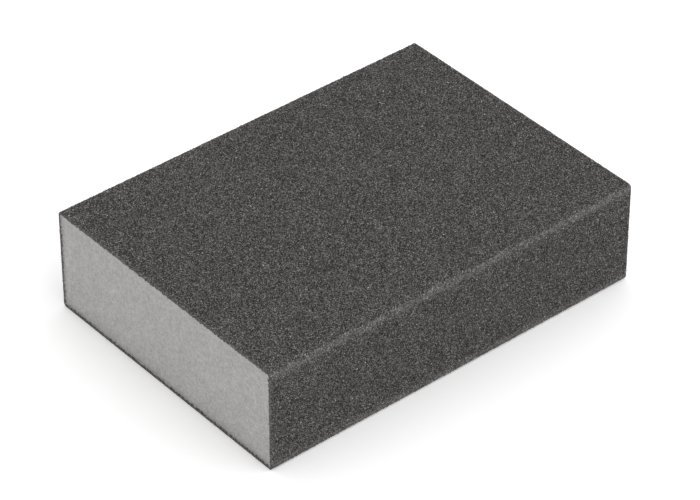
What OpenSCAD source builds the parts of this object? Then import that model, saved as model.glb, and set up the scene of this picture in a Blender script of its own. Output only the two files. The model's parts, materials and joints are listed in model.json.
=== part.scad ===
// A hand sanding block: a brick of soft foam inside a skin of resin and grit.
// The skin wraps the four long faces and the two cut ends stay bare.
// The origin is at the middle of the bottom face. X runs along the block, Z is up.

/* [Block] */
// Length from one cut end to the other
block_l = 97.5; // [60:0.5:160]
// Width over the grit, across the two wide faces
block_w = 70; // [40:0.5:120]
// Thickness over the grit, from one wide face to the other
block_h = 25; // [12:0.5:60]

/* [Foam] */
// Rounding of the foam's four long edges, under the skin
foam_edge_r = 0.3; // [0.1:0.05:4]

/* [Grit skin] */
// Thickness of the resin and grit, the same all round the foam
skin_t = 0.55; // [0.3:0.05:1.5]

/* [Hidden] */
$fn = 48;

// The foam is what the skin leaves inside the block's own size.
foam_w = block_w - 2 * skin_t;
foam_h = block_h - 2 * skin_t;
// The skin's long edges turn about the foam's own edge centres, which keeps it even.
skin_edge_r = foam_edge_r + skin_t;

foam_grey = [0.64, 0.63, 0.62];
grit_grey = [0.31, 0.31, 0.30];

// A flat w by h rectangle about the origin, with its corners rounded to r
module rounded_rectangle(w, h, r) {
    square([w - 2 * r, h], center = true);
    square([w, h - 2 * r], center = true);
    for (side = [-1, 1], end = [-1, 1])
        translate([side * (w / 2 - r), end * (h / 2 - r)])
            circle(r = r);
}

// The section across the block that the foam fills and the skin wraps
module foam_section() {
    rounded_rectangle(foam_w, foam_h, foam_edge_r);
}

// The skin's section: a closed ring of even thickness round the foam
module skin_section() {
    difference() {
        rounded_rectangle(block_w, block_h, skin_edge_r);
        foam_section();
    }
}

// Runs a section the whole length of the block, standing on the bottom face
module along_block() {
    translate([0, 0, block_h / 2])
        rotate([90, 0, 90])
            linear_extrude(height = block_l, center = true)
                children();
}

module foam_block() {
    color(foam_grey) along_block() foam_section();
}

module abrasive_coat() {
    color(grit_grey) along_block() skin_section();
}

foam_block();
abrasive_coat();
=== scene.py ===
"""A hand sanding sponge: a brick of light foam in a skin of dark resin and grit.

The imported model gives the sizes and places. This script gives the looks: the open cells on
the two cut ends of the foam, the resin skin round the four long faces, and the grains that
stand in it. Every length is in metres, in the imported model's own frame: X runs along the
block, Y across it and Z up, with the block standing on z = 0.
"""

import json
import math
import random

import bmesh
import bpy
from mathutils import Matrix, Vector

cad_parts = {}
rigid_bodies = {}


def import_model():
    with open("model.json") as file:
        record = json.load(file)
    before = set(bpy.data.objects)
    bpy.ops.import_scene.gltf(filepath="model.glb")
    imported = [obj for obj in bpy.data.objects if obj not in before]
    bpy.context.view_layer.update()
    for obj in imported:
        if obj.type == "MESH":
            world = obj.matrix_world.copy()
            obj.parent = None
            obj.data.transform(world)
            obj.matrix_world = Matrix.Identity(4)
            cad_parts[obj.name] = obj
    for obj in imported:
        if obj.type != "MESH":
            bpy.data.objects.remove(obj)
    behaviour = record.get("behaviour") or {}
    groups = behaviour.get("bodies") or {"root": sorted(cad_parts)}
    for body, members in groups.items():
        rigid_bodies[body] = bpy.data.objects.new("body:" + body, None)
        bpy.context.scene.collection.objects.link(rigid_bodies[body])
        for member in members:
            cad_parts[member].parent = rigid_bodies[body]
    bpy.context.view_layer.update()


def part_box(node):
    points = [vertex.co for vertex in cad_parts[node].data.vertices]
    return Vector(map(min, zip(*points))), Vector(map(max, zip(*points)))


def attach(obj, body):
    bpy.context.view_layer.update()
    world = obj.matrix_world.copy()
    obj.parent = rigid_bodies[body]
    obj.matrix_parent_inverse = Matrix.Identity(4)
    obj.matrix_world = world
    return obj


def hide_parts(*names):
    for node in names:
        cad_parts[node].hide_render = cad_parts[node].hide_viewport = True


bl_info = {
    "name": "Sanding Sponge",
    "version": (1, 0, 0),
    "blender": (4, 5, 0),
    "location": "3D View > Sidebar > Sponge",
    "description": "Dresses a sanding block in foam cells, resin and grit",
    "category": "Object",
}

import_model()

MM = 0.001
BODY = "root"
FOAM_NODE = "foam_block"
COAT_NODE = "abrasive_coat"

foam_low, foam_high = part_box(FOAM_NODE)
coat_low, coat_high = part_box(COAT_NODE)
BLOCK_MIDDLE = (coat_low + coat_high) / 2
COAT_HALF = (coat_high - coat_low) / 2
FOAM_HALF = (foam_high - foam_low) / 2

# Each long face: its name, then how far its outward direction is turned from straight up.
LONG_FACES = (("bottom", 180), ("front", 90), ("top", 0), ("back", -90))

# Every piece has a map of its own for baking, with this margin round it.
BAKE_MAP = "OFBake"
MAP_MARGIN = 0.01


class SpongeFoamSettings(bpy.types.PropertyGroup):
    """The brick of foam inside the block."""

    edge_radius: bpy.props.FloatProperty(
        name="Edge Radius", description="Rounding of the foam's long edges, under the skin",
        default=0.3 * MM, unit="LENGTH")
    grid_step: bpy.props.FloatProperty(
        name="Grid Step", description="Spacing of the points on the cut ends",
        default=0.3 * MM, unit="LENGTH")
    cell_size: bpy.props.FloatProperty(
        name="Cell Size", description="Width of one open cell of the foam",
        default=0.55 * MM, unit="LENGTH")
    cell_depth: bpy.props.FloatProperty(
        name="Cell Depth", description="How far an open cell sinks into a cut end",
        default=0.07 * MM, unit="LENGTH")
    cut_wave: bpy.props.FloatProperty(
        name="Cut Wave", description="How far the blade wandered on a cut end",
        default=0.12 * MM, unit="LENGTH")
    wave_length: bpy.props.FloatProperty(
        name="Wave Length", description="Distance over which the blade's wandering repeats",
        default=14 * MM, unit="LENGTH")
    soak: bpy.props.FloatProperty(
        name="Soak", description="How far the resin soaked into a cut end at the top and front",
        default=0.05 * MM, unit="LENGTH")
    # Along the back and the bottom the dark band is made wider than at the top and front.
    back_soak: bpy.props.FloatProperty(
        name="Back Soak", description="How far it soaked in along the back",
        default=0.12 * MM, unit="LENGTH")
    bottom_soak: bpy.props.FloatProperty(
        name="Bottom Soak", description="How far it soaked in along the bottom",
        default=0.27 * MM, unit="LENGTH")
    soak_ragged: bpy.props.FloatProperty(
        name="Soak Raggedness", description="How much the border of the soaked foam wanders",
        default=1.15 * MM, unit="LENGTH")
    # Fade and Haze darken the foam past the bottom and back soak, and towards the bottom.
    fade: bpy.props.FloatProperty(
        name="Fade", description="Width of the thinner stain beyond the bottom and back soak",
        default=2.0 * MM, unit="LENGTH")
    haze: bpy.props.FloatProperty(
        name="Haze", description="How much the foam darkens towards the bottom",
        default=0.11, min=0, max=1, subtype="FACTOR")
    haze_height: bpy.props.FloatProperty(
        name="Haze Height", description="How far up the darkening reaches",
        default=4.5 * MM, unit="LENGTH")
    colour: bpy.props.FloatVectorProperty(
        name="Colour", description="Colour of the cell walls",
        default=(0.448, 0.437, 0.427), subtype="COLOR", min=0, max=1)
    # Hollow Colour is painted shade down inside the cells, not a colour of the foam.
    hollow_shade_colour: bpy.props.FloatVectorProperty(
        name="Hollow Colour", description="Colour down inside the cells",
        default=(0.281, 0.272, 0.265), subtype="COLOR", min=0, max=1)


class SpongeSkinSettings(bpy.types.PropertyGroup):
    """The resin that holds the grit on the four long faces."""

    edge_radius: bpy.props.FloatProperty(
        name="Edge Radius", description="Rounding of the block's long edges, over the grit",
        default=0.85 * MM, unit="LENGTH")
    grid_step: bpy.props.FloatProperty(
        name="Grid Step", description="Spacing of the points on the resin",
        default=0.5 * MM, unit="LENGTH")
    grain_stand: bpy.props.FloatProperty(
        name="Grain Stand", description="How far the grains stand out of the resin",
        default=0.07 * MM, unit="LENGTH")
    rim_sink: bpy.props.FloatProperty(
        name="Rim Sink", description="How deep the cut grains sit in the coat's cut rim",
        default=0.1 * MM, unit="LENGTH")
    lump_height: bpy.props.FloatProperty(
        name="Lump Height", description="Unevenness of the resin",
        default=0.12 * MM, unit="LENGTH")
    dust_size: bpy.props.FloatProperty(
        name="Dust Size", description="Width of a small grain that the resin covers",
        default=0.19 * MM, unit="LENGTH")
    colour: bpy.props.FloatVectorProperty(
        name="Colour", description="Colour of the resin between the grains",
        default=(0.019, 0.017, 0.016), subtype="COLOR", min=0, max=1)
    worn_dust: bpy.props.FloatVectorProperty(
        name="Worn Dust", description="Colour that full wear adds to the resin and the grains",
        default=(0.087, 0.083, 0.080), subtype="COLOR", min=0, max=1)
    cut_wear: bpy.props.FloatProperty(
        name="Cut Wear", description="How much the coat pales at its cut rims",
        default=0.6, min=0, max=1, subtype="FACTOR")
    cut_band: bpy.props.FloatProperty(
        name="Cut Band", description="How far from a cut end the paler coat reaches",
        default=0.5 * MM, unit="LENGTH")
    cut_stand: bpy.props.FloatProperty(
        name="Cut Stand", description="How far a grain may stand out past a cut end",
        default=0.08 * MM, unit="LENGTH")
    band_middle: bpy.props.FloatProperty(
        name="Band Middle", description="From a long edge to the middle of its rubbed band",
        default=0.7 * MM, unit="LENGTH")
    band_half: bpy.props.FloatProperty(
        name="Band Half Width", description="From the middle of a rubbed band to where it ends",
        default=1.5 * MM, unit="LENGTH")
    skirt: bpy.props.FloatProperty(
        name="Skirt", description="Faint wear that reaches on past a rubbed band",
        default=0.22, min=0, max=1, subtype="FACTOR")
    skirt_reach: bpy.props.FloatProperty(
        name="Skirt Reach", description="Where the faint wear ends, in half widths of the band",
        default=2.2, min=1)


class SpongeGritSettings(bpy.types.PropertyGroup):
    """The grains that stand in the resin."""

    coarse_size: bpy.props.FloatProperty(
        name="Coarse Size", description="Width of a middling coarse grain",
        default=0.3 * MM, unit="LENGTH")
    coarse_gap: bpy.props.FloatProperty(
        name="Coarse Gap", description="Least distance between two coarse grains",
        default=0.3 * MM, unit="LENGTH")
    coarse_per_square_mm: bpy.props.FloatProperty(
        name="Coarse per mm2", description="Most coarse grains on a square millimetre",
        default=2.0, min=0.1)
    fine_size: bpy.props.FloatProperty(
        name="Fine Size", description="Width of a middling fine grain",
        default=0.222 * MM, unit="LENGTH")
    fine_gap: bpy.props.FloatProperty(
        name="Fine Gap", description="Least distance between two fine grains",
        default=0.22 * MM, unit="LENGTH")
    fine_per_square_mm: bpy.props.FloatProperty(
        name="Fine per mm2", description="Most fine grains on a square millimetre",
        default=15.5, min=0.1)
    spread: bpy.props.FloatProperty(
        name="Size Spread", description="How much smaller or larger a grain may be",
        default=0.42, min=0, max=0.9, subtype="FACTOR")
    seed: bpy.props.IntProperty(
        name="Seed", description="Changes where the grains fall", default=7)
    dark_colour: bpy.props.FloatVectorProperty(
        name="Dark Grain", description="Colour of the darkest grains",
        default=(0.030, 0.028, 0.026), subtype="COLOR", min=0, max=1)
    light_colour: bpy.props.FloatVectorProperty(
        name="Light Grain", description="Colour of the lightest grains",
        default=(0.346, 0.332, 0.319), subtype="COLOR", min=0, max=1)


class SpongeStageSettings(bpy.types.PropertyGroup):
    """The floor, the light and the camera."""

    azimuth: bpy.props.FloatProperty(
        name="Azimuth", description="Turn of the camera round the block",
        default=math.radians(-40.0), subtype="ANGLE")
    elevation: bpy.props.FloatProperty(
        name="Elevation", description="Height of the camera above the horizon",
        default=math.radians(37.4), subtype="ANGLE")
    distance: bpy.props.FloatProperty(
        name="Distance", description="From the camera to the point it looks at",
        default=745 * MM, unit="LENGTH")
    lens: bpy.props.FloatProperty(
        name="Lens", description="Focal length in millimetres on a 36 mm sensor",
        default=182.05, min=1)
    aim: bpy.props.FloatVectorProperty(
        name="Aim", description="The point the camera looks at",
        default=(-0.49 * MM, -1.8 * MM, 12.56 * MM), subtype="XYZ")
    floor_size: bpy.props.FloatProperty(
        name="Floor Size", description="Side of the square floor", default=6.0, unit="LENGTH")
    floor_glow: bpy.props.FloatProperty(
        name="Floor Glow", description="White that the camera sees on top of the lit floor",
        default=0.12, min=0, max=1)
    sky: bpy.props.FloatProperty(
        name="Sky", description="Strength of the soft light from all round", default=1.0)
    sky_lean: bpy.props.FloatVectorProperty(
        name="Sky Lean", description="How much brighter the sky grows towards X, Y and Z",
        default=(0.2, 0.08, 0.0), subtype="XYZ")
    sun: bpy.props.FloatProperty(
        name="Sun", description="What the soft lamp adds to a white surface that faces it",
        default=0.22)
    sun_azimuth: bpy.props.FloatProperty(
        name="Sun Azimuth", description="Turn of the soft lamp round the block",
        default=math.radians(25), subtype="ANGLE")
    sun_elevation: bpy.props.FloatProperty(
        name="Sun Elevation", description="Height of the soft lamp above the horizon",
        default=math.radians(35), subtype="ANGLE")
    sun_width: bpy.props.FloatProperty(
        name="Sun Width", description="How wide the soft lamp looks from the block",
        default=math.radians(80), subtype="ANGLE")


# Node trees ------------------------------------------------------------------------------


def add_node(tree, kind, settings=None, **sockets):
    """Adds a node. settings are the node's own properties.

    Sockets are named with _ for a space, and take a value or another socket.
    """
    node = tree.nodes.new(kind)
    for name, value in (settings or {}).items():
        setattr(node, name, value)
    for name, value in sockets.items():
        connect(tree, node.inputs[name.replace("_", " ")], value)
    return node


def connect(tree, socket, value):
    """Gives an input socket its value, or links another node's output to it."""
    if isinstance(value, bpy.types.NodeSocket):
        tree.links.new(value, socket)
    else:
        socket.default_value = value


def maths(tree, operation, *values):
    """A Math node. Returns its output."""
    node = tree.nodes.new("ShaderNodeMath")
    node.operation = operation
    for socket, value in zip(node.inputs, values):
        connect(tree, socket, value)
    return node.outputs[0]


def remap(tree, value, span, to=(0.0, 1.0), smooth=False):
    """Carries a value from one span to another, held at both ends."""
    node = tree.nodes.new("ShaderNodeMapRange")
    node.interpolation_type = "SMOOTHSTEP" if smooth else "LINEAR"
    for socket, number in zip(node.inputs, (value, *span, *to)):
        connect(tree, socket, number)
    return node.outputs[0]


def mix_colours(tree, factor, first, second):
    """A Mix node for colours. Its two colours are inputs 6 and 7, and the mix is output 2."""
    node = add_node(tree, "ShaderNodeMix", {"data_type": "RGBA"}, Factor=factor)
    connect(tree, node.inputs[6], first)
    connect(tree, node.inputs[7], second)
    return node.outputs[2]


def bare_tree(owner):
    """Turns on a material's or a world's nodes and returns its tree, emptied."""
    owner.use_nodes = True
    owner.node_tree.nodes.clear()
    return owner.node_tree


def new_material(name):
    """A material with a bare shader. Returns the material, its tree and the shader."""
    material = bpy.data.materials.new(name)
    tree = bare_tree(material)
    shader = tree.nodes.new("ShaderNodeBsdfPrincipled")
    add_node(tree, "ShaderNodeOutputMaterial", Surface=shader.outputs[0])
    return material, tree, shader


def solid_colour(colour, share=1.0):
    """A colour property, times share, as the four numbers a socket takes."""
    return tuple(channel * share for channel in colour) + (1.0,)


def noise(tree, where, size, detail, roughness):
    """Noise whose patches are about size across. Returns its 0 to 1 output."""
    return add_node(tree, "ShaderNodeTexNoise", Vector=where, Scale=per_size(tree, size),
                    Detail=detail, Roughness=roughness).outputs[0]


def voronoi(tree, where, size, feature="F1"):
    """A Voronoi node whose cells are about size across."""
    return add_node(tree, "ShaderNodeTexVoronoi", {"feature": feature}, Vector=where,
                    Scale=per_size(tree, size))


def per_size(tree, size):
    """The scale of a texture for a size, which is a number or a socket."""
    if isinstance(size, bpy.types.NodeSocket):
        return maths(tree, "DIVIDE", 1.0, size)
    return 1.0 / size


def split(tree, value):
    """The three numbers of a colour or a vector."""
    return add_node(tree, "ShaderNodeSeparateXYZ", Vector=value).outputs


def object_place(tree):
    """The place of the shaded point, in the object's own frame."""
    return tree.nodes.new("ShaderNodeTexCoord").outputs["Object"]


def kept_number(tree, name):
    """A number that the mesh keeps for its points, read in a material."""
    return add_node(tree, "ShaderNodeAttribute", {"attribute_name": name}).outputs["Fac"]


def vector_maths(tree, operation, first, second):
    """A Vector Math node of two inputs. Returns its vector, or its value for a dot product."""
    node = add_node(tree, "ShaderNodeVectorMath", {"operation": operation})
    connect(tree, node.inputs[0], first)
    connect(tree, node.inputs["Scale" if operation == "SCALE" else 1], second)
    return node.outputs["Value" if operation == "DOT_PRODUCT" else "Vector"]


def new_geometry_tree(name, inputs):
    """A modifier tree. inputs has the names of its inputs by kind, and Material joins them.

    Returns the tree and its inputs as sockets.
    """
    tree = bpy.data.node_groups.new(name, "GeometryNodeTree")
    for kind, labels in (("Geometry", ["Geometry"]), *inputs.items(), ("Material", ["Material"])):
        for label in labels:
            tree.interface.new_socket(label, in_out="INPUT", socket_type=f"NodeSocket{kind}")
    tree.interface.new_socket("Geometry", in_out="OUTPUT", socket_type="NodeSocketGeometry")
    return tree, tree.nodes.new("NodeGroupInput").outputs


def finish_geometry_tree(tree, geometry, material):
    """Ends a tree: the instances are made real and wear the material."""
    real = add_node(tree, "GeometryNodeRealizeInstances", Geometry=geometry)
    dressed = add_node(tree, "GeometryNodeSetMaterial", Geometry=real.outputs[0], Material=material)
    add_node(tree, "NodeGroupOutput", Geometry=dressed.outputs[0])


def read_kept(tree, name, kind="FLOAT"):
    """What the geometry keeps under a name, read in a modifier tree."""
    node = add_node(tree, "GeometryNodeInputNamedAttribute", {"data_type": kind}, Name=name)
    return node.outputs[0]


def keep(tree, geometry, name, value, kind="FLOAT", domain="POINT"):
    """Keeps a value under a name. Returns the geometry."""
    node = add_node(tree, "GeometryNodeStoreNamedAttribute", {"data_type": kind, "domain": domain},
                    Geometry=geometry, Name=name, Value=value)
    return node.outputs[0]


def move(tree, geometry, offset):
    """Moves the points of the geometry. Returns the geometry."""
    node = add_node(tree, "GeometryNodeSetPosition", Geometry=geometry, Offset=offset)
    return node.outputs[0]


def baked_by_nodes(source, tree, values):
    """Runs a tree on an object and returns the result as a plain mesh."""
    modifier = source.modifiers.new(tree.name, "NODES")
    modifier.node_group = tree
    for item in tree.interface.items_tree:
        if item.item_type == "SOCKET" and item.in_out == "INPUT" and item.name in values:
            modifier[item.identifier] = values[item.name]
    graph = bpy.context.evaluated_depsgraph_get()
    mesh = bpy.data.meshes.new_from_object(source.evaluated_get(graph))
    source.modifiers.remove(modifier)
    return mesh


# Meshes ----------------------------------------------------------------------------------


def new_object(name, data):
    """Puts a mesh, a lamp or a camera in the scene, at the origin."""
    thing = bpy.data.objects.new(name, data)
    bpy.context.scene.collection.objects.link(thing)
    return thing


def even_steps(start, end, step):
    """Places from start to end, both included, about step apart."""
    count = max(1, round(abs(end - start) / step))
    return [start + (end - start) * i / count for i in range(count + 1)]


def face_outline(turn, half_along, half_out, radius, step, arc_steps=3):
    """One long face's outline, from the middle of one rounded edge to the middle of the next.

    Each point is a place (y, z) about the block's middle line, the outward direction (y, z)
    there, and the distance from the nearer edge of the face. turn is how far the face's
    outward direction is turned from straight up, in degrees.
    """
    flat = half_along - radius
    bends = [math.radians(45) * i / arc_steps for i in range(1, arc_steps + 1)]
    local = [(-flat, -bend) for bend in reversed(bends)]
    local += [(t, 0.0) for t in even_steps(-flat, flat, step)]
    local += [(flat, bend) for bend in bends]
    points = []
    for start, bend in local:
        t = start + radius * math.sin(bend)
        n = half_out - radius + radius * math.cos(bend)
        place = turned(t, n, turn)
        outward = turned(math.sin(bend), math.cos(bend), turn)
        points.append((place, outward, half_along - abs(t)))
    return points


def turned(t, n, degrees):
    """Turns a pair (along, out) of the top face into (y, z) of the face that is turned so far."""
    c, s = math.cos(math.radians(degrees)), math.sin(math.radians(degrees))
    return (t * c - n * s, t * s + n * c)


def face_halves(turn, half):
    """A face's half length round the block and its distance from the middle line."""
    return (half.y, half.z) if turn % 180 == 0 else (half.z, half.y)


def skin_halves(grain_stand):
    """Half the size of the resin, which the grains stand out of on the four long faces."""
    return COAT_HALF - Vector((0, grain_stand, grain_stand))


def face_wear(turn, settings):
    """The function that gives the wear on a face, from the distance to its long edge.

    The band lies a little way down the narrow face, so a distance on a wide face counts as
    less than nothing. The wear is 1 in the middle half of the band and falls away at its two
    borders, down to a faint skirt.
    """
    sign = -1 if turn % 180 == 0 else 1

    def wear(distance):
        away = abs(sign * distance - settings.band_middle) / settings.band_half
        full = 0.5 + 0.5 * math.cos(math.pi * min(1, max(0, 2 * away - 1)))
        return max(full, settings.skirt * (1 - away / settings.skirt_reach))
    return wear


def add_attribute(mesh, name, values):
    """Keeps one number for each point of a mesh."""
    mesh.attributes.new(name, "FLOAT", "POINT").data.foreach_set("value", values)


def inside_map(u, v):
    """A place on a bake map, from u and v that run from 0 to 1 within its margin."""
    return MAP_MARGIN + u * (1 - 2 * MAP_MARGIN), MAP_MARGIN + v * (1 - 2 * MAP_MARGIN)


def set_smooth(mesh, sharp_between):
    """Shades a mesh smooth, with a sharp edge wherever sharp_between says so of two points."""
    mesh.shade_smooth()
    for edge in mesh.edges:
        edge.use_edge_sharp = sharp_between(*edge.vertices)


# Foam ------------------------------------------------------------------------------------


# Widths of the fine cells and of the ones that hold a speck, as shares of an open cell.
FINE_CELL = 0.55
SPECK_CELL = 0.8
# How far the open cells and the fine cells turn to the hollow colour, which is painted shade.
OPEN_SHADE = 0.5
FINE_SHADE = 0.74
# Sizes of the mottling, of the wide patches and of the waves in the border of the soaked foam.
MOTTLE_SIZE = 0.82 * MM
PATCH_SIZE = 5 * MM
SOAK_WANDER_SIZE = 0.65 * MM
# Half the width over which the soaked foam ends, and how deep the fine cells look.
SOAK_BLUR = 0.06 * MM
FOAM_BUMP = 0.06 * MM
# How bright the soaked foam is against the bare resin.
STAIN_BRIGHTNESS = 3.2
# The noise, from 0 to 1, at which the cut lies at the block's own end. Lower noise is more
# common, and there the cut lies further in.
CUT_LEVEL = 0.62


def foam_material(settings, resin_colour):
    """Matte foam: pale walls, painted shade in the hollows, and a stain where the resin soaked in.
    """
    material, tree, shader = new_material("Foam")
    where = object_place(tree)
    fine = fine_hollows(tree, where, settings.cell_size * FINE_CELL)
    pit, crumb = pits_and_crumbs(tree, where, settings.cell_size * SPECK_CELL)
    # The hollows and the pits turn to the hollow colour: painted shade where the cells sink in.
    wide = maths(tree, "MULTIPLY", kept_number(tree, "hollow"), OPEN_SHADE)
    depth = maths(tree, "MULTIPLY_ADD", fine, FINE_SHADE, wide)
    colour = mix_colours(tree, maths(tree, "ADD", depth, pit), solid_colour(settings.colour),
                         solid_colour(settings.hollow_shade_colour))
    mottle = remap(tree, noise(tree, where, MOTTLE_SIZE, 3, 0.75), (0.25, 0.75), (0.8, 1.2))
    patches = remap(tree, noise(tree, where, PATCH_SIZE, 4, 0.6), (0.3, 0.7), (0.97, 1.03))
    shade = maths(tree, "MULTIPLY", maths(tree, "ADD", mottle, crumb), patches)
    connect(tree, shader.inputs["Base Color"], mix_colours(
        tree, soaked(tree, where, settings), vector_maths(tree, "SCALE", colour, shade),
        solid_colour(resin_colour, STAIN_BRIGHTNESS)))
    shader.inputs["Roughness"].default_value = 0.95
    shader.inputs["Specular IOR Level"].default_value = 0.2
    bump = add_node(tree, "ShaderNodeBump", Strength=0.6, Distance=FOAM_BUMP,
                    Height=maths(tree, "MULTIPLY", fine, -1.0))
    connect(tree, shader.inputs["Normal"], bump.outputs[0])
    return material


def fine_hollows(tree, where, size):
    """The small cells between the open ones: 1 in the middle of a deep one, 0 on the walls."""
    cells = voronoi(tree, where, size)
    middle = remap(tree, cells.outputs["Distance"], (0.05, 0.6), (1.0, 0.0))
    chance = split(tree, cells.outputs["Color"])[0]
    return maths(tree, "MULTIPLY", middle, remap(tree, chance, (0.2, 0.9), (0.1, 1.0)))


def pits_and_crumbs(tree, where, size):
    """Sparse specks: how dark the pits are, as painted shade, and how much lighter the crumbs are.
    """
    cells = voronoi(tree, where, size)
    dot = remap(tree, cells.outputs["Distance"], (0.15, 0.35), (1.0, 0.0))
    chance = split(tree, cells.outputs["Color"])[0]
    pit = maths(tree, "MULTIPLY", dot, remap(tree, chance, (0.9, 0.92)))
    crumb = maths(tree, "MULTIPLY", dot, remap(tree, chance, (0.12, 0.14), (0.4, 0.0)))
    return pit, crumb


def soaked(tree, where, settings):
    """1 where the resin soaked in, 0 well inside it, and a little more near the bottom and back."""
    _, y, z = split(tree, vector_maths(tree, "SUBTRACT", where, BLOCK_MIDDLE))
    from_bottom = maths(tree, "ADD", FOAM_HALF.z, z)
    from_top = maths(tree, "SUBTRACT", FOAM_HALF.z, z)
    from_front = maths(tree, "ADD", FOAM_HALF.y, y)
    from_back = maths(tree, "SUBTRACT", FOAM_HALF.y, y)
    chance = maths(tree, "SUBTRACT", noise(tree, where, SOAK_WANDER_SIZE, 3, 0.7), 0.5)
    wander = maths(tree, "MULTIPLY", chance, settings.soak_ragged * 2)

    def past_soak(*sides):
        first, second = [maths(tree, "SUBTRACT", inside, soak) for inside, soak in sides]
        return maths(tree, "ADD", maths(tree, "MINIMUM", first, second), wander)

    top_and_front = past_soak((from_top, settings.soak), (from_front, settings.soak))
    low_and_back = past_soak((from_bottom, settings.bottom_soak), (from_back, settings.back_soak))
    border = maths(tree, "MINIMUM", top_and_front, low_and_back)
    core = remap(tree, border, (-SOAK_BLUR, SOAK_BLUR), (1.0, 0.0), smooth=True)
    # Past the bottom and back soak, and towards the bottom, the foam is only made a little darker.
    thin = maths(tree, "POWER", remap(tree, low_and_back, (0.0, settings.fade), (0.8, 0.0)), 3.0)
    haze = remap(tree, from_bottom, (0.0, settings.haze_height), (settings.haze, 0.0))
    return maths(tree, "MAXIMUM", core, maths(tree, "ADD", thin, haze))


def foam_grid(settings):
    """The closed brick of foam: two fine grids on the cut ends, joined by long plain sides.

    Returns the mesh and the number of points on each end. The near end's points come first,
    and the points inside an end's outline are the ones marked as cut.
    """
    radius = settings.edge_radius
    ys = even_steps(-FOAM_HALF.y, FOAM_HALF.y, settings.grid_step)
    zs = even_steps(-FOAM_HALF.z, FOAM_HALF.z, settings.grid_step)
    points, cut = [], []
    for x in (-FOAM_HALF.x, FOAM_HALF.x):
        for y in ys:
            for z in zs:
                points.append(Vector((x, *rounded_corner(y, z, radius))) + BLOCK_MIDDLE)
                inside = abs(y) < FOAM_HALF.y and abs(z) < FOAM_HALF.z
                cut.append(1.0 if inside else 0.0)
    rows, columns = len(ys), len(zs)

    def at(end, i, j):
        return (end * rows + i) * columns + j

    faces = []
    for i in range(rows - 1):
        for j in range(columns - 1):
            faces.append((at(0, i, j), at(0, i, j + 1), at(0, i + 1, j + 1), at(0, i + 1, j)))
            faces.append((at(1, i, j), at(1, i + 1, j), at(1, i + 1, j + 1), at(1, i, j + 1)))
    rim = [(i, 0) for i in range(rows - 1)]
    rim += [(rows - 1, j) for j in range(columns - 1)]
    rim += [(i, columns - 1) for i in range(rows - 1, 0, -1)]
    rim += [(0, j) for j in range(columns - 1, 0, -1)]
    for first, second in zip(rim, rim[1:] + rim[:1]):
        faces.append((at(0, *first), at(0, *second), at(1, *second), at(1, *first)))
    mesh = bpy.data.meshes.new("Foam grid")
    mesh.from_pydata(points, [], faces)
    add_attribute(mesh, "cut", cut)
    return mesh, rows * columns


def rounded_corner(y, z, radius):
    """Moves a point of the foam's section that lies past a rounded edge on to its curve."""
    past_y = abs(y) - (FOAM_HALF.y - radius)
    past_z = abs(z) - (FOAM_HALF.z - radius)
    reach = math.hypot(past_y, past_z)
    if past_y <= 0 or past_z <= 0 or reach <= radius:
        return y, z
    share = radius / reach
    return (math.copysign(FOAM_HALF.y - radius + past_y * share, y),
            math.copysign(FOAM_HALF.z - radius + past_z * share, z))


def foam_tree():
    """Sinks open cells into the cut ends and lets the knife's cut wander a little."""
    tree, given = new_geometry_tree("Foam cells", {
        "Float": ("Cell size", "Cell depth", "Cut wave", "Wave length")})
    place = tree.nodes.new("GeometryNodeInputPosition").outputs[0]
    cut = read_kept(tree, "cut")
    cells = voronoi(tree, place, given["Cell size"])
    middle = remap(tree, cells.outputs["Distance"], (0.15, 0.55), (1.0, 0.0), smooth=True)
    chance = split(tree, cells.outputs["Color"])[0]
    is_open = remap(tree, chance, (0.25, 0.6), smooth=True)
    hollow = maths(tree, "MULTIPLY", maths(tree, "MULTIPLY", middle, is_open), cut)
    waves = noise(tree, place, given["Wave length"], 2.0, 0.5)
    wander = maths(tree, "MULTIPLY", maths(tree, "SUBTRACT", waves, CUT_LEVEL),
                   given["Cut wave"])
    outwards = maths(tree, "SUBTRACT", wander,
                     maths(tree, "MULTIPLY", hollow, given["Cell depth"]))
    outwards = maths(tree, "MULTIPLY", outwards, cut)
    end = maths(tree, "SIGN", split(tree, place)[0])
    offset = add_node(tree, "ShaderNodeCombineXYZ", X=maths(tree, "MULTIPLY", outwards, end))
    marked = keep(tree, given["Geometry"], "hollow", hollow)
    finish_geometry_tree(tree, move(tree, marked, offset.outputs[0]), given["Material"])
    return tree


# On the foam's map: the height of an end, where the far end starts, and where the sides do.
END_TALL = 0.35
FAR_END = 0.37
SIDE_STRIP = 0.74


def foam_map(mesh, per_end):
    """Lays the two cut ends out one above the other, and the hidden sides in a strip above."""
    layer = mesh.uv_layers.new(name=BAKE_MAP)
    sides = [face for face in mesh.polygons if min(face.vertices) < per_end <= max(face.vertices)]
    numbers = {face.index: number for number, face in enumerate(sides)}
    for face in mesh.polygons:
        for i, corner in enumerate(face.loop_indices):
            index = mesh.loops[corner].vertex_index
            far = index >= per_end
            point = mesh.vertices[index].co - BLOCK_MIDDLE
            u = (point.y / FOAM_HALF.y + 1) / 2
            v = (point.z / FOAM_HALF.z + 1) / 2 * END_TALL + (FAR_END if far else 0.0)
            if face.index in numbers:
                # A side's corners 1 and 2 are the ones that it shares with the next side.
                u = (numbers[face.index] + (i in (1, 2))) / len(sides)
                v = 1.0 if far else SIDE_STRIP
            layer.uv[corner].vector = inside_map(u, v)


def sharp_on_foam(mesh, per_end):
    """The test for a sharp edge: it joins the two ends, or lies on the outline of one."""
    cut = mesh.attributes["cut"].data

    def sharp(first, second):
        joins_ends = (first < per_end) != (second < per_end)
        return joins_ends or cut[first].value == cut[second].value == 0
    return sharp


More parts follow.
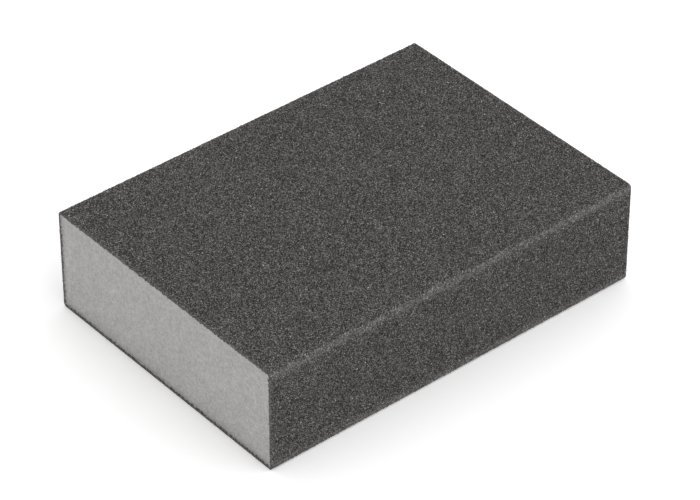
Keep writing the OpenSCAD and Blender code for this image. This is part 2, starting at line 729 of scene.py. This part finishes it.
class SPONGE_OT_make_foam(bpy.types.Operator):
    """Make the brick of foam with its two cut ends"""

    bl_idname = "sponge.make_foam"
    bl_label = "Make Foam"

    def execute(self, context):
        settings = context.scene.sponge_foam
        mesh, per_end = foam_grid(settings)
        piece = new_object("foam", mesh)
        tree = foam_tree()
        piece.data = baked_by_nodes(piece, tree, {
            "Cell size": settings.cell_size, "Cell depth": settings.cell_depth,
            "Cut wave": settings.cut_wave, "Wave length": settings.wave_length,
            "Material": foam_material(settings, context.scene.sponge_skin.colour)})
        bpy.data.node_groups.remove(tree)
        bpy.data.meshes.remove(mesh)
        foam_map(piece.data, per_end)
        set_smooth(piece.data, sharp_on_foam(piece.data, per_end))
        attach(piece, BODY)
        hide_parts(FOAM_NODE)
        return {"FINISHED"}


# Coat ------------------------------------------------------------------------------------


# Sizes of the wide and of the small gaps in the wear.
UNEVEN_WEAR_SIZE = 4 * MM
RAGGED_WEAR_SIZE = 0.7 * MM
# The power that makes pale dust rarer than dark dust.
DUST_POWER = 2.6


def resin_material(settings, grit):
    """Dark resin full of dust and small grains, and paler where it is rubbed."""
    material, tree, shader = new_material("Resin")
    where = object_place(tree)
    dust, gaps = [voronoi(tree, where, settings.dust_size, feature)
                  for feature in ("F1", "DISTANCE_TO_EDGE")]
    tone = maths(tree, "POWER", split(tree, dust.outputs["Color"])[0], DUST_POWER)
    gap = remap(tree, gaps.outputs["Distance"], (0.0, 0.16), (0.25, 1.0))
    colour = mix_colours(tree, maths(tree, "MULTIPLY", tone, gap), solid_colour(settings.colour),
                         solid_colour(grit.light_colour))
    connect(tree, shader.inputs["Base Color"], worn(tree, colour, where, settings))
    shader.inputs["Roughness"].default_value = 0.7
    shader.inputs["Specular IOR Level"].default_value = 0.12
    dome = maths(tree, "MULTIPLY", dust.outputs["Distance"], -0.5)
    bump = add_node(tree, "ShaderNodeBump", Strength=0.9, Distance=settings.dust_size * 0.5,
                    Height=maths(tree, "MULTIPLY_ADD", gap, 0.5, dome))
    connect(tree, shader.inputs["Normal"], bump.outputs[0])
    return material


def worn(tree, colour, where, settings):
    """A colour made lighter where the coat is rubbed: along its long edges and its cut rims.

    The wear kept on the mesh is broken up unevenly. Pale dust is added to the colour, so that
    the light and dark of the grains stays.
    """
    uneven = remap(tree, noise(tree, where, UNEVEN_WEAR_SIZE, 2, 0.5), (0.3, 0.7), (0.6, 1.1))
    ragged = remap(tree, noise(tree, where, RAGGED_WEAR_SIZE, 2, 0.6), (0.3, 0.7), (0.4, 0.95))
    long_edges = maths(tree, "MULTIPLY", kept_number(tree, "wear"),
                       maths(tree, "MULTIPLY", uneven, ragged))
    along = maths(tree, "ABSOLUTE", split(tree, where)[0])
    rims = remap(tree, along, (COAT_HALF.x - settings.cut_band, COAT_HALF.x),
                 (0.0, settings.cut_wear))
    dust = vector_maths(tree, "SCALE", settings.worn_dust,
                        maths(tree, "MAXIMUM", long_edges, rims))
    return vector_maths(tree, "ADD", colour, dust)


def coat_outlines(turn, settings):
    """The resin's outer and inner outline on one long face, with as many points in each."""
    foam_radius = bpy.context.scene.sponge_foam.edge_radius
    along, out = face_halves(turn, skin_halves(settings.grain_stand))
    radius = settings.edge_radius - settings.grain_stand
    count = round(2 * (along - radius) / settings.grid_step)
    outer = face_outline(turn, along, out, radius, 2 * (along - radius) / count)
    along, out = face_halves(turn, FOAM_HALF)
    inner = face_outline(turn, along, out, foam_radius, 2 * (along - foam_radius) / count)
    return outer, inner


def coat_slab(turn, settings):
    """One long face of the coat as a closed slab.

    Returns the mesh and how many points its outer wall has across and along the block.
    """
    outer, inner = coat_outlines(turn, settings)
    stations = even_steps(-COAT_HALF.x, COAT_HALF.x, settings.grid_step)
    wear = face_wear(turn, settings)
    points, outwards, wears, walls = [], [], [], []
    ends = (stations[0], stations[-1])
    for outline, places, wall in ((outer, stations, 1.0), (inner, ends, 0.0)):
        for x in places:
            for place, outward, edge in outline:
                points.append(Vector((x, *place)) + BLOCK_MIDDLE)
                outwards += (0.0, *outward)
                wears.append(wall * wear(edge + settings.grain_stand))
                walls.append(wall)
    mesh = bpy.data.meshes.new("Coat slab")
    mesh.from_pydata(points, [], [face for face, _ in slab_faces(len(outer), len(stations))])
    add_attribute(mesh, "wear", wears)
    add_attribute(mesh, "wall", walls)
    mesh.attributes.new("outward", "FLOAT_VECTOR", "POINT").data.foreach_set("vector", outwards)
    return mesh, len(outer), len(stations)


def slab_faces(across, stations):
    """The faces of a slab, each with the name of the wall that it belongs to."""
    last = stations - 1
    inner = stations * across

    def outside(station, i):
        return station * across + i

    def inside(end, i):
        return inner + end * across + i

    faces = []
    for station in range(last):
        for i in range(across - 1):
            faces.append(((outside(station, i), outside(station + 1, i),
                           outside(station + 1, i + 1), outside(station, i + 1)), "outer"))
    for i, j in zip(range(across - 1), range(1, across)):
        faces.append(((inside(0, i), inside(0, j), inside(1, j), inside(1, i)), "inner"))
        faces.append(((outside(0, i), outside(0, j), inside(0, j), inside(0, i)), "near rim"))
        faces.append(((outside(last, j), outside(last, i), inside(1, i), inside(1, j)), "far rim"))
    for i in (0, across - 1):
        border = [outside(station, i) for station in range(stations)]
        border += [inside(1, i), inside(0, i)]
        faces.append((tuple(border if i else reversed(border)), "border"))
    return faces


# On a slab's map: how wide its outer wall is, where each strip beside it starts, and how wide
# a strip is.
OUTER_WIDE = 0.9
STRIPS = {"near rim": 0.92, "far rim": 0.94, "border": 0.96, "inner": 0.98}
STRIP_WIDE = 0.012


def coat_map(mesh, across, stations):
    """Lays out a slab's outer wall, with its two rims and its hidden walls in strips beside it."""
    layer = mesh.uv_layers.new(name=BAKE_MAP)
    walls = [wall for _, wall in slab_faces(across, stations)]
    for face, wall in zip(mesh.polygons, walls):
        for corner in face.loop_indices:
            row, i = divmod(mesh.loops[corner].vertex_index, across)
            depth = max(0, min(1, row - stations + 1))
            share = min(row, stations - 1) / (stations - 1)
            u, v = share * OUTER_WIDE, i / (across - 1)
            if wall in STRIPS:
                u = STRIPS[wall] + STRIP_WIDE * (row - stations if wall == "inner" else depth)
            if wall == "border":
                v = row - stations if depth else share
            layer.uv[corner].vector = inside_map(u, v)


def coat_tree():
    """Makes the coat's outer wall lumpy, with a lump for every small grain under the resin."""
    tree, given = new_geometry_tree("Resin lumps", {"Float": ("Lump height", "Lump size")})
    place = tree.nodes.new("GeometryNodeInputPosition").outputs[0]
    lumps = voronoi(tree, place, given["Lump size"])
    height = maths(tree, "MULTIPLY", maths(tree, "SUBTRACT", 0.5, lumps.outputs["Distance"]),
                   maths(tree, "MULTIPLY", given["Lump height"], read_kept(tree, "wall")))
    offset = vector_maths(tree, "SCALE", read_kept(tree, "outward", "FLOAT_VECTOR"), height)
    finish_geometry_tree(tree, move(tree, given["Geometry"], offset), given["Material"])
    return tree


class SPONGE_OT_make_coat(bpy.types.Operator):
    """Make the resin on the four long faces"""

    bl_idname = "sponge.make_coat"
    bl_label = "Make Coat"

    def execute(self, context):
        settings, grit = context.scene.sponge_skin, context.scene.sponge_grit
        tree = coat_tree()
        material = resin_material(settings, grit)
        for name, turn in LONG_FACES:
            mesh, across, stations = coat_slab(turn, settings)
            piece = new_object(f"coat_{name}", mesh)
            piece.data = baked_by_nodes(piece, tree, {
                "Lump height": settings.lump_height, "Lump size": settings.dust_size,
                "Material": material})
            bpy.data.meshes.remove(mesh)
            coat_map(piece.data, across, stations)
            outer = across * stations
            set_smooth(piece.data, lambda a, b: a >= outer or b >= outer)
            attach(piece, BODY)
            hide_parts(COAT_NODE)
        bpy.data.node_groups.remove(tree)
        return {"FINISHED"}


# Grit ------------------------------------------------------------------------------------


# Sizes of the flecks on a grain and of the wide clouds over the grit.
FLECK_SIZE = 0.1 * MM
CLOUD_SIZE = 12 * MM
# The power that makes pale grains rarer than dark ones.
TONE_POWER = 3.2
# The six stones of each sort: how many corners a stone's ring has, and how many poles it has.
GRAIN_KINDS = {"coarse": ((3, 2), (4, 1)) * 3, "fine": ((3, 1),) * 6}
# How far off a stone's corners may be, and how low the ring of a one-pole stone is, as shares
# of its ring's radius.
STONE_JITTER = 0.25
STONE_BASE = -0.35
# How far a grain's middle sits above the resin, as a share of its size.
GRAIN_LIFT = 0.1
# How much of its size a grain keeps on its map.
GRAIN_ON_MAP = 0.6
# Spacing of the points, along the block, on the sheet that the grains fall on.
PATCH_STEP = 10 * MM


def grain_material(settings):
    """Hard grains, each its own tone from near black to light grey, and a few painted glints."""
    material, tree, shader = new_material("Grain")
    where = object_place(tree)
    tone = kept_number(tree, "tone")
    colour = mix_colours(tree, maths(tree, "POWER", tone, TONE_POWER),
                         solid_colour(settings.dark_colour), solid_colour(settings.light_colour))
    flecks = remap(tree, noise(tree, where, FLECK_SIZE, 2, 0.5), (0.3, 0.7), (0.85, 1.15))
    cloud = remap(tree, noise(tree, where, CLOUD_SIZE, 3, 0.6), (0.3, 0.7), (0.96, 1.04))
    # A few grains are drawn up to 1.6 times brighter, as painted glints.
    painted_glint = remap(tree, tone, (0.975, 0.99), (1.0, 1.6))
    shade = maths(tree, "MULTIPLY", maths(tree, "MULTIPLY", flecks, cloud), painted_glint)
    colour = worn(tree, colour, where, bpy.context.scene.sponge_skin)
    connect(tree, shader.inputs["Base Color"], vector_maths(tree, "SCALE", colour, shade))
    connect(tree, shader.inputs["Roughness"], remap(tree, tone, (0.0, 1.0), (0.6, 0.4)))
    shader.inputs["Specular IOR Level"].default_value = 0.25
    return material


def shard(name, ring, poles, dice):
    """A small sharp stone: the hull of a ring of corners and one or two poles, all uneven."""
    corners = [Vector((math.cos(a), math.sin(a), STONE_BASE if poles == 1 else 0.0))
               for a in (2 * math.pi * i / ring for i in range(ring))]
    corners += [Vector((0, 0, z)) for z in (1.0, -1.0)[:poles]]
    shape = bmesh.new()
    for corner in corners:
        jitter = Vector([dice.uniform(-STONE_JITTER, STONE_JITTER) for _ in range(3)])
        shape.verts.new((corner + jitter) * 0.5)
    bmesh.ops.convex_hull(shape, input=shape.verts)
    bmesh.ops.recalc_face_normals(shape, faces=shape.faces)
    mesh = bpy.data.meshes.new(name)
    shape.to_mesh(mesh)
    shape.free()
    return bpy.data.objects.new(name, mesh)


def shard_collection(name, kinds, seed):
    """The handful of stones that every grain is a copy of, outside the scene."""
    dice = random.Random(seed)
    stones = bpy.data.collections.new(name)
    for number, (ring, poles) in enumerate(kinds):
        stones.objects.link(shard(f"{name}_{number}", ring, poles, dice))
    return stones


def clear_shards(stones):
    """Takes the stones out of the file, once every grain is a mesh of its own."""
    for stone in list(stones.objects):
        mesh = stone.data
        bpy.data.objects.remove(stone)
        bpy.data.meshes.remove(mesh)
    bpy.data.collections.remove(stones)


def grit_tree():
    """Scatters shards over a patch of the coat, each turned, sized and toned by chance."""
    tree, given = new_geometry_tree("Grit scatter", {
        "Collection": ("Shards",), "Int": ("Seed",),
        "Float": ("Gap", "Density", "Smallest", "Largest", "Lift", "Map share"),
        "Vector": ("Map low", "Map size", "Map across")})
    size_seed, turn_seed, tone_seed = [maths(tree, "ADD", given["Seed"], step)
                                       for step in (1, 2, 3)]
    scatter = add_node(tree, "GeometryNodeDistributePointsOnFaces",
                       {"distribute_method": "POISSON"}, Mesh=given["Geometry"],
                       Distance_Min=given["Gap"], Density_Max=given["Density"], Seed=given["Seed"])
    lift = vector_maths(tree, "SCALE", scatter.outputs["Normal"], given["Lift"])
    seated = move(tree, scatter.outputs["Points"], lift)
    place = tree.nodes.new("GeometryNodeInputPosition").outputs[0]
    seated = keep(tree, seated, "middle", place, "FLOAT_VECTOR")
    stones = add_node(tree, "GeometryNodeCollectionInfo", {"transform_space": "ORIGINAL"},
                      Collection=given["Shards"], Separate_Children=True, Reset_Children=True)
    size = random_value(tree, "FLOAT", given["Smallest"], given["Largest"], size_seed)
    turn = random_value(tree, "FLOAT_VECTOR", (0, 0, 0), (math.tau,) * 3, turn_seed)
    tone = random_value(tree, "FLOAT", 0.0, 1.0, tone_seed)
    copies = add_node(tree, "GeometryNodeInstanceOnPoints", Points=seated,
                      Instance=stones.outputs[0], Pick_Instance=True, Rotation=turn, Scale=size)
    toned = keep(tree, copies.outputs[0], "tone", tone, domain="INSTANCE")
    real = add_node(tree, "GeometryNodeRealizeInstances", Geometry=toned)
    finish_geometry_tree(tree, with_map(tree, real.outputs[0], place, given), given["Material"])
    return tree


def random_value(tree, kind, low, high, seed):
    """A Random Value node of one kind. Returns the output of that kind."""
    node = add_node(tree, "FunctionNodeRandomValue", {"data_type": kind}, Seed=seed)
    first_input, output = {"FLOAT_VECTOR": (0, 0), "FLOAT": (2, 1)}[kind]
    connect(tree, node.inputs[first_input], low)
    connect(tree, node.inputs[first_input + 1], high)
    return node.outputs[output]


def with_map(tree, geometry, place, given):
    """Keeps a bake map that looks straight down on the patch, with each grain drawn in a little.

    X goes one way and the patch's own across the other. Map share is how much of its size a
    grain keeps on the map, so that neighbours that lean on each other stay apart there.
    """
    middle = read_kept(tree, "middle", "FLOAT_VECTOR")
    away = vector_maths(tree, "SCALE", vector_maths(tree, "SUBTRACT", place, middle),
                        given["Map share"])
    drawn = vector_maths(tree, "ADD", middle, away)
    flat = add_node(tree, "ShaderNodeCombineXYZ", X=split(tree, drawn)[0],
                    Y=vector_maths(tree, "DOT_PRODUCT", drawn, given["Map across"])).outputs[0]
    start = vector_maths(tree, "SUBTRACT", flat, given["Map low"])
    on_map = vector_maths(tree, "DIVIDE", start, given["Map size"])
    return keep(tree, geometry, BAKE_MAP, on_map, "FLOAT2", "CORNER")


def grit_patch(turn, settings):
    """One long face of the resin as a bare sheet for the grains to fall on, with its wear.

    A narrow strip at each end lies just inside the cut rim, so that cut grains show there.
    """
    outer, inner = coat_outlines(turn, settings)
    rim = COAT_HALF.x - settings.rim_sink
    stations = even_steps(-COAT_HALF.x, COAT_HALF.x, PATCH_STEP)
    strips = (((-rim, inner), (-rim, outer)), tuple((x, outer) for x in stations),
              ((rim, outer), (rim, inner)))
    wear = face_wear(turn, settings)
    points, wears, faces = [], [], []
    for strip in strips:
        for row, (x, outline) in enumerate(strip):
            first = len(points)
            points += [Vector((x, *place)) + BLOCK_MIDDLE for place, _, _ in outline]
            wears += [wear(edge + settings.grain_stand) for _, _, edge in outline]
            if row:
                before = first - len(outline)
                faces += [(before + i, first + i, first + i + 1, before + i + 1)
                          for i in range(len(outline) - 1)]
    mesh = bpy.data.meshes.new("Grit patch")
    mesh.from_pydata(points, [], faces)
    add_attribute(mesh, "wear", wears)
    return mesh


def scatter_grains(face, turn, sort, tree, material, seed):
    """Scatters one sort of grain, coarse or fine, on one long face and returns the piece."""
    skin, grit = bpy.context.scene.sponge_skin, bpy.context.scene.sponge_grit
    size = getattr(grit, f"{sort}_size")
    name = f"grit_{face}_{sort}"
    mesh = grit_patch(turn, skin)
    piece = new_object(name, mesh)
    across = Vector((0, 1, 0)) if turn % 180 == 0 else Vector((0, 0, 1))
    half_map = Vector((COAT_HALF.x, COAT_HALF.dot(across), 0)) * (1 + 2 * MAP_MARGIN)
    # The map is flat. Its third size is 1 only because the tree divides by all three.
    map_size = 2 * half_map + Vector((0, 0, 1))
    middle = Vector((BLOCK_MIDDLE.x, BLOCK_MIDDLE.dot(across), 0))
    stones = shard_collection(name, GRAIN_KINDS[sort], seed)
    piece.data = baked_by_nodes(piece, tree, {
        "Shards": stones, "Gap": getattr(grit, f"{sort}_gap"),
        "Density": getattr(grit, f"{sort}_per_square_mm") / MM ** 2,
        "Smallest": size * (1 - grit.spread), "Largest": size * (1 + grit.spread),
        "Lift": size * GRAIN_LIFT, "Seed": seed, "Map low": middle - half_map,
        "Map size": map_size, "Map across": across, "Map share": GRAIN_ON_MAP,
        "Material": material})
    bpy.data.meshes.remove(mesh)
    clear_shards(stones)
    reach = COAT_HALF.x + skin.cut_stand
    for vertex in piece.data.vertices:
        vertex.co.x = max(-reach, min(reach, vertex.co.x))
        vertex.co.z = max(coat_low.z, vertex.co.z)
    return piece


class SPONGE_OT_scatter_grit(bpy.types.Operator):
    """Set the grains in the resin on the four long faces"""

    bl_idname = "sponge.scatter_grit"
    bl_label = "Scatter Grit"

    def execute(self, context):
        settings = context.scene.sponge_grit
        tree = grit_tree()
        material = grain_material(settings)
        seed = settings.seed
        for face, turn in LONG_FACES:
            for sort in GRAIN_KINDS:
                seed += 10
                piece = scatter_grains(face, turn, sort, tree, material, seed)
                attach(piece, BODY)
        bpy.data.node_groups.remove(tree)
        return {"FINISHED"}


# Stage -----------------------------------------------------------------------------------


WHITE = (1, 1, 1, 1)
# What the floor throws back on to the block.
FLOOR_GREY = (0.85, 0.85, 0.85, 1)


def floor_material(glow):
    """A white floor that keeps the block's shadow. The camera sees a little glow on top."""
    material = bpy.data.materials.new("Floor")
    tree = bare_tree(material)
    plain = add_node(tree, "ShaderNodeBsdfDiffuse", Color=FLOOR_GREY)
    white = add_node(tree, "ShaderNodeBsdfDiffuse", Color=WHITE)
    glowing = add_node(tree, "ShaderNodeEmission", Color=WHITE, Strength=glow)
    bright = tree.nodes.new("ShaderNodeAddShader")
    connect(tree, bright.inputs[0], white.outputs[0])
    connect(tree, bright.inputs[1], glowing.outputs[0])
    show_apart(tree, plain, bright, "ShaderNodeOutputMaterial")
    return material


def white_world(strength, lean):
    """Soft light from all round, a little brighter one way. The camera sees it as plain white."""
    world = bpy.data.worlds.new("White room")
    tree = bare_tree(world)
    toward = tree.nodes.new("ShaderNodeTexCoord").outputs["Generated"]
    brighter = maths(tree, "ADD", vector_maths(tree, "DOT_PRODUCT", toward, lean), 1.0)
    light = add_node(tree, "ShaderNodeBackground", Color=WHITE,
                     Strength=maths(tree, "MULTIPLY", brighter, strength))
    backdrop = add_node(tree, "ShaderNodeBackground", Color=WHITE, Strength=1.0)
    show_apart(tree, light, backdrop, "ShaderNodeOutputWorld")
    return world


def show_apart(tree, lit, seen, output):
    """Ends a tree with one shader for what the camera sees and another for all other light.

    What it sees in a mirror or through glass counts as seen.
    """
    path = tree.nodes.new("ShaderNodeLightPath").outputs
    straight = maths(tree, "MAXIMUM", path["Is Camera Ray"], path["Is Glossy Ray"])
    mixed = add_node(tree, "ShaderNodeMixShader",
                     Fac=maths(tree, "MAXIMUM", straight, path["Is Transmission Ray"]))
    connect(tree, mixed.inputs[1], lit.outputs[0])
    connect(tree, mixed.inputs[2], seen.outputs[0])
    add_node(tree, output, Surface=mixed.outputs[0])


def direction(azimuth, elevation):
    """The way out from the block. At azimuth 0 it is -Y, where one who looks along +Y stands."""
    flat = math.cos(elevation)
    return Vector((math.sin(azimuth) * flat, -math.cos(azimuth) * flat, math.sin(elevation)))


def aim(thing, place, target):
    """Puts a lamp or a camera at a place, turned to look at the target."""
    thing.location = place
    thing.rotation_euler = (target - place).to_track_quat("-Z", "Y").to_euler()


def add_floor(settings):
    """A square floor under the block."""
    half = settings.floor_size / 2
    corners = [(-half, -half, 0), (half, -half, 0), (half, half, 0), (-half, half, 0)]
    mesh = bpy.data.meshes.new("floor")
    mesh.from_pydata(corners, [], [(0, 1, 2, 3)])
    mesh.materials.append(floor_material(settings.floor_glow))
    floor = new_object("floor", mesh)


def add_soft_lamp(settings):
    """A sun so wide that it lights as one large soft lamp.

    A sun of strength pi makes a white surface that faces it show as 1.
    """
    lamp_data = bpy.data.lights.new("soft_lamp", "SUN")
    lamp_data.energy = settings.sun * math.pi
    lamp_data.angle = settings.sun_width
    towards_lamp = direction(settings.sun_azimuth, settings.sun_elevation)
    aim(new_object("soft_lamp", lamp_data), BLOCK_MIDDLE + towards_lamp, BLOCK_MIDDLE)


def add_camera(settings):
    """The camera, at its distance from the point that it looks at."""
    camera_data = bpy.data.cameras.new("camera")
    camera_data.lens = settings.lens
    camera = new_object("camera", camera_data)
    target = Vector(settings.aim)
    back = direction(settings.azimuth, settings.elevation) * settings.distance
    aim(camera, target + back, target)
    bpy.context.scene.camera = camera


class SPONGE_OT_set_stage(bpy.types.Operator):
    """Set the floor, the soft light and the camera"""

    bl_idname = "sponge.set_stage"
    bl_label = "Set Stage"

    def execute(self, context):
        settings = context.scene.sponge_stage
        add_floor(settings)
        context.scene.world = white_world(settings.sky, settings.sky_lean)
        add_soft_lamp(settings)
        add_camera(settings)
        context.scene.view_settings.view_transform = "Standard"
        return {"FINISHED"}


class SPONGE_PT_panel(bpy.types.Panel):
    """Lists the steps that dress the block"""

    bl_idname = "SPONGE_PT_panel"
    bl_label = "Sanding Sponge"
    bl_space_type = "VIEW_3D"
    bl_region_type = "UI"
    bl_category = "Sponge"

    def draw(self, context):
        for name, operator in PANEL_ROWS:
            box = self.layout.box()
            settings = getattr(context.scene, name)
            for prop in settings.bl_rna.properties:
                if prop.identifier not in ("rna_type", "name"):
                    box.prop(settings, prop.identifier)
            box.operator(operator.bl_idname)


SETTINGS = (
    ("sponge_foam", SpongeFoamSettings),
    ("sponge_skin", SpongeSkinSettings),
    ("sponge_grit", SpongeGritSettings),
    ("sponge_stage", SpongeStageSettings),
)
OPERATORS = (SPONGE_OT_make_foam, SPONGE_OT_make_coat, SPONGE_OT_scatter_grit, SPONGE_OT_set_stage)
PANEL_ROWS = tuple((name, operator) for (name, _), operator in zip(SETTINGS, OPERATORS))


def register():
    """Adds the settings, the operators and the panel to Blender."""
    for name, group in SETTINGS:
        bpy.utils.register_class(group)
        setattr(bpy.types.Scene, name, bpy.props.PointerProperty(type=group))
    for operator in (*OPERATORS, SPONGE_PT_panel):
        bpy.utils.register_class(operator)


def unregister():
    """Takes them out again."""
    for operator in (SPONGE_PT_panel, *reversed(OPERATORS)):
        bpy.utils.unregister_class(operator)
    for name, group in reversed(SETTINGS):
        delattr(bpy.types.Scene, name)
        bpy.utils.unregister_class(group)


def main():
    """Makes every piece in order."""
    register()
    bpy.ops.sponge.make_foam()
    bpy.ops.sponge.make_coat()
    bpy.ops.sponge.scatter_grit()
    bpy.ops.sponge.set_stage()


if __name__ == "__main__":
    main()
